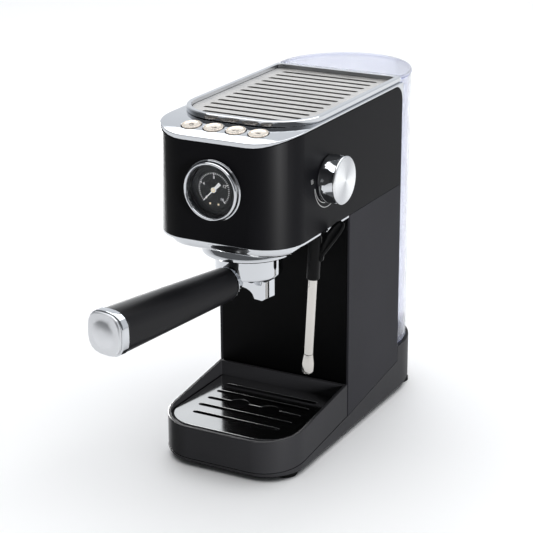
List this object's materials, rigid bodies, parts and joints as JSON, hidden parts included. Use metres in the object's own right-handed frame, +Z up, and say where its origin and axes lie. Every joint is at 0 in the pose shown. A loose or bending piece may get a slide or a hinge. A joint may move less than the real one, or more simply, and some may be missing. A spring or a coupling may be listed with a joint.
{
  "type": "espresso machine",
  "caption": "Slim pump espresso machine with a lock-in portafilter, swing-out steam wand, pressure gauge, cup-warming top, slide-out drip tray and lift-off rear water tank",
  "frame": {"origin": "on the ground, below the middle of the outline that includes the portafilter handle and the steam knob", "axes": "+Z up, +Y from the front to the rear, +X to the right seen from the front, where the steam knob is"},
  "size_m": [0.158, 0.454, 0.329],
  "materials": {
    "back_panel": "matte",
    "base_chassis": "matte",
    "base_cover": "matte",
    "basket_spring": "plain",
    "button_1": "satin",
    "button_2": "satin",
    "button_3": "satin",
    "button_4": "satin",
    "column_panel": "satin",
    "control_board": "matte",
    "cord_gland": "matte",
    "cup_plate": "brushed",
    "cup_rail": "polished",
    "drip_plate": "polished",
    "drip_tray": "satin",
    "filter_basket": "polished",
    "foot_front_left": "matte",
    "foot_front_right": "matte",
    "foot_rear_left": "matte",
    "foot_rear_right": "matte",
    "gauge_bezel": "polished",
    "gauge_case": "matte",
    "gauge_dial": "matte",
    "gauge_lens": "clear",
    "gauge_needle": "satin",
    "group_collar": "polished",
    "group_gasket": "matte",
    "group_head": "cast",
    "group_skirt": "polished",
    "handle_cap": "satin",
    "handle_grip": "satin",
    "handle_ring": "polished",
    "head_plate": "polished",
    "head_shell": "satin",
    "portafilter_bowl": "polished",
    "portafilter_spout": "polished",
    "pressure_hose": "matte",
    "pump": "matte",
    "pump_mount": "matte",
    "shower_screen": "plain",
    "side_panel_left": "satin",
    "side_panel_right": "satin",
    "solenoid_valve": "matte",
    "steam_knob": "polished",
    "steam_knob_cap": "brushed",
    "steam_spindle": "plain",
    "steam_valve": "plain",
    "suction_hose": "matte",
    "tank_lid": "clear plastic",
    "tank_seat": "matte",
    "tank_valve": "matte",
    "thermoblock": "cast",
    "top_deck": "polished",
    "wand_ball": "polished",
    "wand_grip": "satin",
    "wand_nozzle": "polished",
    "wand_socket": "plain",
    "wand_tube": "polished",
    "water_tank": "clear plastic"
  },
  "bodies": {
    "machine": {"back_panel": "back_panel", "base_chassis": "base_chassis", "base_cover": "base_cover", "column_panel": "column_panel", "control_board": "control_board", "cord_gland": "cord_gland", "cup_plate": "cup_plate", "cup_rail": "cup_rail", "foot_front_left": "foot_front_left", "foot_front_right": "foot_front_right", "foot_rear_left": "foot_rear_left", "foot_rear_right": "foot_rear_right", "gauge_bezel": "gauge_bezel", "gauge_case": "gauge_case", "gauge_dial": "gauge_dial", "gauge_lens": "gauge_lens", "group_collar": "group_collar", "group_gasket": "group_gasket", "group_head": "group_head", "group_skirt": "group_skirt", "head_plate": "head_plate", "head_shell": "head_shell", "pressure_hose": "pressure_hose", "pump": "pump", "pump_mount": "pump_mount", "shower_screen": "shower_screen", "side_panel_left": "side_panel_left", "side_panel_right": "side_panel_right", "solenoid_valve": "solenoid_valve", "steam_valve": "steam_valve", "suction_hose": "suction_hose", "tank_seat": "tank_seat", "thermoblock": "thermoblock", "top_deck": "top_deck", "wand_socket": "wand_socket"},
    "button_1_body": {"button_1": "button_1"},
    "button_2_body": {"button_2": "button_2"},
    "button_3_body": {"button_3": "button_3"},
    "button_4_body": {"button_4": "button_4"},
    "needle": {"gauge_needle": "gauge_needle"},
    "knob": {"steam_knob": "steam_knob", "steam_knob_cap": "steam_knob_cap", "steam_spindle": "steam_spindle"},
    "wand": {"wand_ball": "wand_ball", "wand_tube": "wand_tube", "wand_nozzle": "wand_nozzle", "wand_grip": "wand_grip"},
    "portafilter": {"portafilter_bowl": "portafilter_bowl", "filter_basket": "filter_basket", "basket_spring": "basket_spring", "portafilter_spout": "portafilter_spout", "handle_grip": "handle_grip", "handle_ring": "handle_ring", "handle_cap": "handle_cap"},
    "tray": {"drip_tray": "drip_tray"},
    "plate": {"drip_plate": "drip_plate"},
    "tank": {"water_tank": "water_tank", "tank_valve": "tank_valve"},
    "lid": {"tank_lid": "tank_lid"}
  },
  "joints": [
    {"name": "button_1_press", "type": "slide", "parent": "machine", "child": "button_1_body", "axis": [0, 0.1414, -0.9899], "range_m": [0, 0.0015], "stiffness_N_per_m": 800, "springref_m": -0.001},
    {"name": "button_2_press", "type": "slide", "parent": "machine", "child": "button_2_body", "axis": [0, 0.1414, -0.9899], "range_m": [0, 0.0015], "stiffness_N_per_m": 800, "springref_m": -0.001},
    {"name": "button_3_press", "type": "slide", "parent": "machine", "child": "button_3_body", "axis": [0, 0.1414, -0.9899], "range_m": [0, 0.0015], "stiffness_N_per_m": 800, "springref_m": -0.001},
    {"name": "button_4_press", "type": "slide", "parent": "machine", "child": "button_4_body", "axis": [0, 0.1414, -0.9899], "range_m": [0, 0.0015], "stiffness_N_per_m": 800, "springref_m": -0.001},
    {"name": "gauge_needle_turn", "type": "hinge", "parent": "machine", "child": "needle", "pos_m": [-0.009, -0.0963, 0.272], "axis": [0, 1, 0], "range_deg": [0, 270], "stiffness_Nm_per_rad": 0.0004, "springref_deg": -17.19},
    {"name": "steam_knob_turn", "type": "hinge", "parent": "machine", "child": "knob", "pos_m": [0.07, -0.0158, 0.271], "axis": [1, 0, 0], "range_deg": [0, 170]},
    {"name": "wand_swing", "type": "hinge", "parent": "machine", "child": "wand", "pos_m": [0.05035, -0.0178, 0.226], "axis": [0, -1, 0], "range_deg": [0, 25]},
    {"name": "portafilter_turn", "type": "hinge", "parent": "machine", "child": "portafilter", "pos_m": [-0.009, -0.0358, 0.194], "axis": [0, 0, 1], "range_deg": [-35, 12]},
    {"name": "drip_tray_slide", "type": "slide", "parent": "machine", "child": "tray", "axis": [0, -1, 0], "range_m": [0, 0.14]},
    {"name": "drip_plate_lift", "type": "slide", "parent": "tray", "child": "plate", "axis": [0, 0, 1], "range_m": [0, 0.03]},
    {"name": "water_tank_lift", "type": "slide", "parent": "machine", "child": "tank", "axis": [0, 0, 1], "range_m": [0, 0.1]},
    {"name": "tank_lid_tilt", "type": "hinge", "parent": "tank", "child": "lid", "pos_m": [-0.009, 0.148, 0.329], "axis": [1, 0, 0], "range_deg": [0, 95]}
  ]
}
